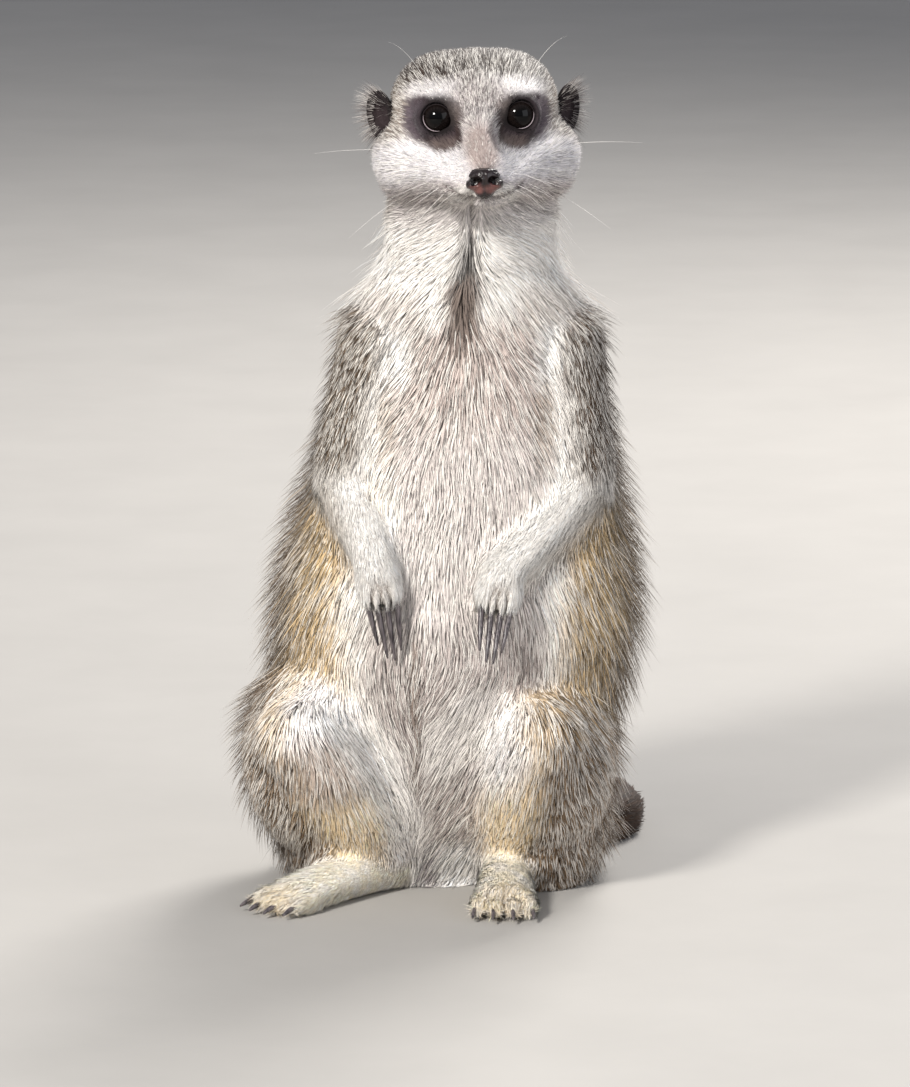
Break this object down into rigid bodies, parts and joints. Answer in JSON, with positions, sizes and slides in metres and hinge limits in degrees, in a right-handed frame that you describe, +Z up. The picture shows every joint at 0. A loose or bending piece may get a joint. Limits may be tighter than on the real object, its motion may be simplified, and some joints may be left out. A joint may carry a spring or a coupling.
{
  "type": "sitting meerkat",
  "caption": "Life-size still meerkat, sitting upright on its rump with forepaws held over the belly, tail laid on the floor behind it.",
  "frame": {"origin": "centre of the flat that the rump rests on, on the floor", "axes": "+Z up, -Y the way the chest faces, +X the animal's left"},
  "size_m": [0.1319, 0.2244, 0.272],
  "materials": {
    "grizzled_coat": "long grizzled fur, brown and silver",
    "pale_coat": "short to medium pale fur",
    "face_coat": "short fur: grizzled crown, white cheeks, dark eye patches",
    "foot_coat": "short cream fur",
    "ear_coat": "short black fur on bare dark skin",
    "tail_tip_coat": "short black-brown fur",
    "nose_skin": "moist dark skin",
    "claw_horn": "dark horn, slightly glossy",
    "eye": "wet dark brown eye"
  },
  "bodies": {
    "root": {"head": "face_coat", "lower_jaw": "face_coat", "nose": "nose_skin", "ear_left": "ear_coat", "ear_right": "ear_coat", "eye_left": "eye", "eye_right": "eye", "neck": "pale_coat", "trunk": "grizzled_coat", "tail_root": "grizzled_coat", "tail_middle": "grizzled_coat", "tail_tip": "tail_tip_coat", "foreleg_left_upper_arm": "grizzled_coat", "foreleg_left_forearm": "pale_coat", "foreleg_left_paw": "pale_coat", "foreleg_left_claw_1": "claw_horn", "foreleg_left_claw_2": "claw_horn", "foreleg_left_claw_3": "claw_horn", "foreleg_left_claw_4": "claw_horn", "foreleg_right_upper_arm": "grizzled_coat", "foreleg_right_forearm": "pale_coat", "foreleg_right_paw": "pale_coat", "foreleg_right_claw_1": "claw_horn", "foreleg_right_claw_2": "claw_horn", "foreleg_right_claw_3": "claw_horn", "foreleg_right_claw_4": "claw_horn", "hind_leg_left_thigh": "grizzled_coat", "hind_leg_left_shank": "grizzled_coat", "hind_leg_left_foot": "foot_coat", "hind_leg_left_claw_1": "claw_horn", "hind_leg_left_claw_2": "claw_horn", "hind_leg_left_claw_3": "claw_horn", "hind_leg_left_claw_4": "claw_horn", "hind_leg_right_thigh": "grizzled_coat", "hind_leg_right_shank": "grizzled_coat", "hind_leg_right_foot": "foot_coat", "hind_leg_right_claw_1": "claw_horn", "hind_leg_right_claw_2": "claw_horn", "hind_leg_right_claw_3": "claw_horn", "hind_leg_right_claw_4": "claw_horn"}
  },
  "joints": []
}
